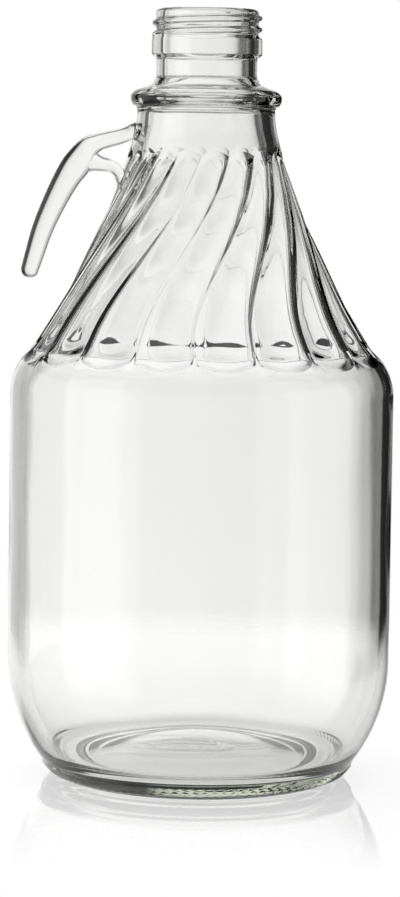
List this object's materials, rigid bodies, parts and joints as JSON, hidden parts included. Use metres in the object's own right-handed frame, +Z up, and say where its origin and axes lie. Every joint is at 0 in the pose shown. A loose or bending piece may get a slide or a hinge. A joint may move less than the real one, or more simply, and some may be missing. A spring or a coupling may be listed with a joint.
{
  "type": "demijohn",
  "caption": "Clear glass demijohn with a round body, a spiral-fluted conical shoulder, a hook-shaped handle, a carrying ring and an open screw-neck finish.",
  "frame": {"origin": "centre of the base, on the plane that the bearing ring stands on", "axes": "+Z up along the axis of the body and neck; the handle lies in the XZ plane, towards -X; -Y is the front"},
  "size_m": [0.1332, 0.1332, 0.266],
  "materials": {
    "glass": "clear flint glass, smooth and glossy"
  },
  "bodies": {
    "root": {"demijohn": "glass"}
  },
  "joints": []
}
